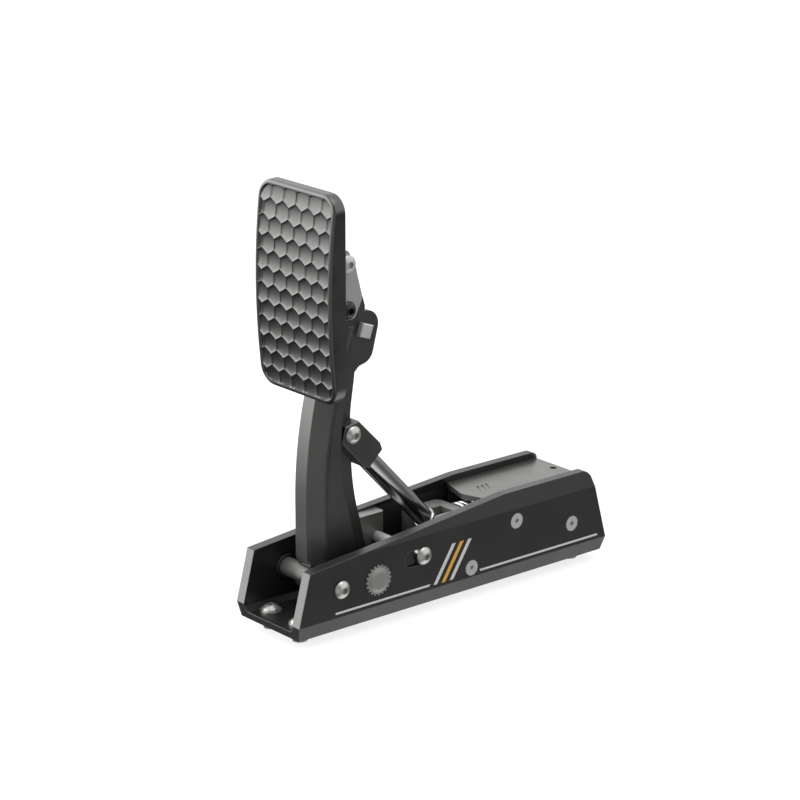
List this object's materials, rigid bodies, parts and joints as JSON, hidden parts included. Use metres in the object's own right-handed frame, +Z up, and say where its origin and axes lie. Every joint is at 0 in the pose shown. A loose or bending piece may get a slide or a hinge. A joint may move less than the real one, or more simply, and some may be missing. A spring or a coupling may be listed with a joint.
{
  "type": "sim racing pedal",
  "caption": "Floor-mounted sim racing brake pedal: a channel base carries a curved arm with a dimpled pad, a pushrod and a sprung slider.",
  "frame": {"origin": "under the middle of the base, on the plane where the floor nuts stand", "axes": "+X from the driver towards the rear of the base, +Z up the arm, -Y the side with the toothed dial"},
  "size_m": [0.2182, 0.063, 0.2391],
  "materials": {
    "black_paint": "satin black powder coat",
    "black_anodised": "satin black anodised",
    "pad_black": "matte black anodised",
    "grey_metal": "bead-blasted",
    "plate_grey": "satin anodised",
    "zinc_steel": "bright zinc",
    "sunk_steel": "satin stainless",
    "polished_steel": "polished",
    "spring_steel": "bright drawn wire",
    "rubber_black": "matte",
    "socket_black": "moulded"
  },
  "bodies": {
    "base": {"base_channel": "black_paint", "cable_socket": "socket_black", "carrier_screw_front": "sunk_steel", "carrier_screw_rear": "sunk_steel", "coil_spring": "spring_steel", "floor_bolt_front_far": "zinc_steel", "floor_bolt_front_near": "zinc_steel", "floor_bolt_rear_far": "zinc_steel", "floor_bolt_rear_near": "zinc_steel", "floor_nut_front_far": "zinc_steel", "floor_nut_front_near": "zinc_steel", "floor_nut_rear_far": "zinc_steel", "floor_nut_rear_near": "zinc_steel", "floor_washer_front_far": "zinc_steel", "floor_washer_front_near": "zinc_steel", "floor_washer_rear_far": "zinc_steel", "floor_washer_rear_near": "zinc_steel", "guide_block": "grey_metal", "load_cell": "zinc_steel", "pivot_bolt_far": "zinc_steel", "pivot_bolt_near": "zinc_steel", "pivot_shaft": "zinc_steel", "rear_block": "grey_metal", "side_screw_block_far": "sunk_steel", "side_screw_block_near": "sunk_steel", "side_screw_guide_far": "sunk_steel", "side_screw_guide_near": "sunk_steel", "side_screw_plate_far": "sunk_steel", "side_screw_plate_near": "sunk_steel", "slot_plug": "black_anodised", "stop_bar": "polished_steel", "stop_bolt_near": "zinc_steel", "stop_carrier": "grey_metal", "thrust_ring_far": "black_anodised", "thrust_ring_near": "black_anodised", "toothed_dial": "sunk_steel", "top_plate": "plate_grey"},
    "arm": {"arm_shell": "black_anodised", "arm_web": "black_anodised", "pivot_tube": "black_anodised", "heel_bumper": "rubber_black", "square_peg": "zinc_steel", "side_pin": "zinc_steel", "pad": "pad_black", "pad_bracket": "grey_metal", "bracket_bolt_low": "zinc_steel", "bracket_bolt_high": "zinc_steel", "pad_screw_1": "zinc_steel", "pad_screw_2": "zinc_steel", "pad_screw_3": "zinc_steel", "pad_screw_4": "zinc_steel"},
    "pushrod": {"clevis": "black_anodised", "clevis_bolt": "zinc_steel", "clevis_nut": "zinc_steel", "rod_tube": "polished_steel", "rod_end": "polished_steel"},
    "slider": {"fork": "grey_metal", "fork_pin": "polished_steel", "spring_seat": "zinc_steel"}
  },
  "joints": [
    {"name": "arm_pivot", "type": "hinge", "parent": "base", "child": "arm", "pos_m": [-0.0807, 0, 0.028], "axis": [0, 1, 0], "range_deg": [0, 10], "stiffness_Nm_per_rad": 15, "springref_deg": -1.15},
    {"name": "slider_travel", "type": "slide", "parent": "base", "child": "slider", "axis": [1, 0, 0], "range_m": [0, 0.01765], "deforming": ["coil_spring"]},
    {"name": "pushrod_swing", "type": "hinge", "parent": "arm", "child": "pushrod", "pos_m": [-0.0601, 0, 0.1044], "axis": [0, 1, 0], "range_deg": [-13.85, 0]}
  ],
  "couplings": [
    {"joint": "slider_travel", "follows": "arm_pivot", "m_per_rad": 0.10097},
    {"joint": "pushrod_swing", "follows": "arm_pivot", "ratio": -1.3825}
  ]
}
